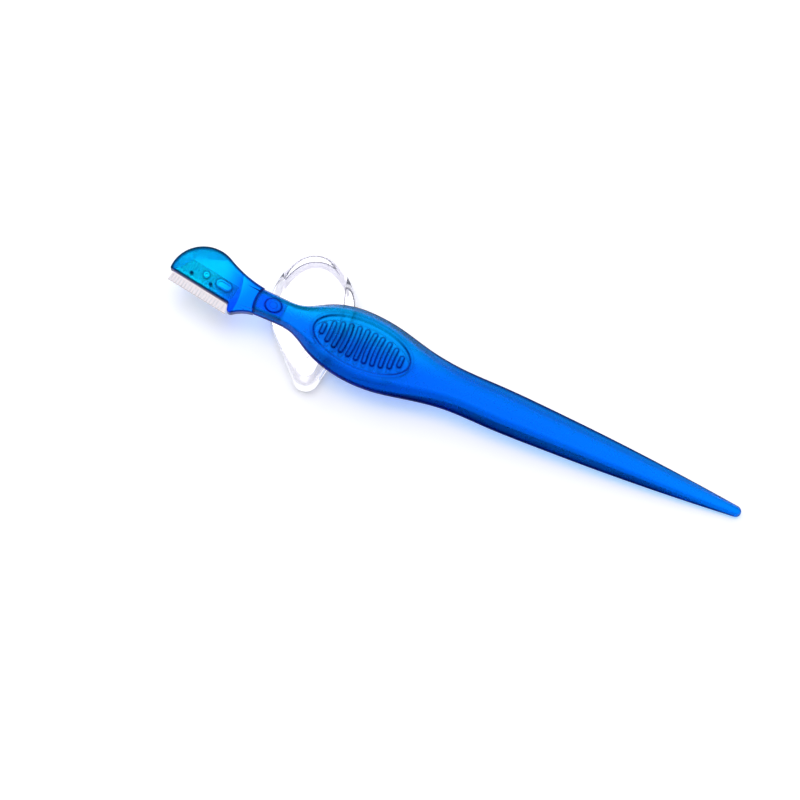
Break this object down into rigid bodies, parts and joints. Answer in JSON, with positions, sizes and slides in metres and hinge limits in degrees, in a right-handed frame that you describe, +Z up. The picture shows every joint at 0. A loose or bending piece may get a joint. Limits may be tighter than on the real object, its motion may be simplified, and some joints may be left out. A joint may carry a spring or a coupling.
{
  "type": "eyebrow razor",
  "caption": "Slim eyebrow razor with a half-moon head, guarded steel blade and flat ribbed grip, resting across its clear slip-on cap.",
  "frame": {"origin": "on the table, under the middle of the whole assembly", "axes": "+X from the razor's head to its tail, +Y towards the rounded back of the head, +Z up"},
  "size_m": [0.1492, 0.033, 0.015],
  "materials": {
    "tinted_plastic": "glossy translucent blue moulding",
    "clear_plastic": "glossy clear moulding",
    "blade_steel": "ground and honed",
    "guard_steel": "bright rolled foil"
  },
  "bodies": {
    "handle": {"handle": "tinted_plastic"},
    "head": {"blade_holder": "tinted_plastic", "holder_cover": "tinted_plastic", "blade": "blade_steel", "comb_guard": "guard_steel"},
    "cap": {"cap": "clear_plastic"}
  },
  "joints": [
    {"name": "head_pulls_out", "type": "slide", "parent": "handle", "child": "head", "axis": [-0.9965, 0, 0.0831], "range_m": [0, 0.009]},
    {"name": "cap_pulls_clear", "type": "slide", "parent": "handle", "child": "cap", "axis": [-0.3156, 0.9489, 0], "range_m": [0, 0.04]}
  ]
}
